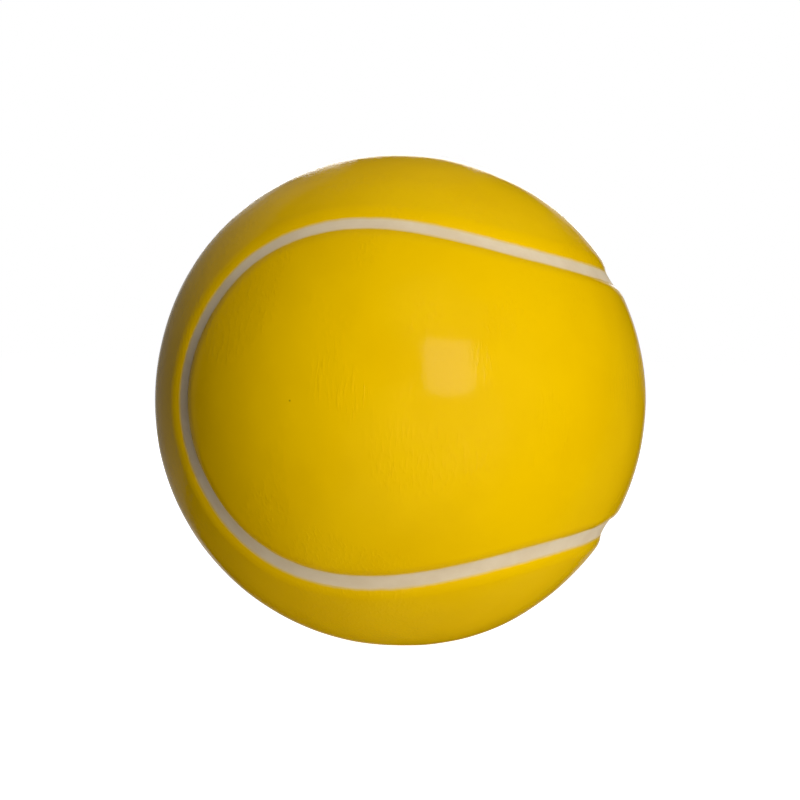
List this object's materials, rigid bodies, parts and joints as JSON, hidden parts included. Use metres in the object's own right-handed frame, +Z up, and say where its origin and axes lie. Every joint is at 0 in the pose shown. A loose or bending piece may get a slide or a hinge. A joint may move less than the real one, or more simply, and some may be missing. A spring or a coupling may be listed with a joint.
{
  "type": "stress ball",
  "caption": "Squeezable foam stress ball with a tennis-ball seam: smooth yellow panels and an off-white line in a shallow groove.",
  "frame": {"origin": "middle of the small patch that the ball rests on, at the bottom of its box", "axes": "+Z up through the ball's centre, +X through the waist of panel A, -Y through the lobe of panel A that faces forward"},
  "size_m": [0.0635, 0.0634, 0.0632],
  "materials": {
    "foam": "matte",
    "skin": "satin",
    "seam_paint": "matte",
    "yellow_paint": "satin"
  },
  "bodies": {
    "middle": {"foam_core": "foam", "moulded_skin": "skin", "seam_line": "seam_paint"},
    "side_a": {"panel_a": "yellow_paint"},
    "side_b": {"panel_b": "yellow_paint"}
  },
  "joints": [
    {"name": "squeeze", "type": "slide", "parent": "middle", "child": "side_a", "axis": [-1, 0, 0], "range_m": [0, 0.0127], "stiffness_N_per_m": 3000, "deforming": ["foam_core", "moulded_skin", "seam_line", "panel_a"]},
    {"name": "squeeze_b", "type": "slide", "parent": "middle", "child": "side_b", "axis": [1, 0, 0], "range_m": [0, 0.0127], "stiffness_N_per_m": 3000, "deforming": ["panel_b"]}
  ],
  "couplings": [
    {"joint": "squeeze_b", "follows": "squeeze", "ratio": 1}
  ]
}
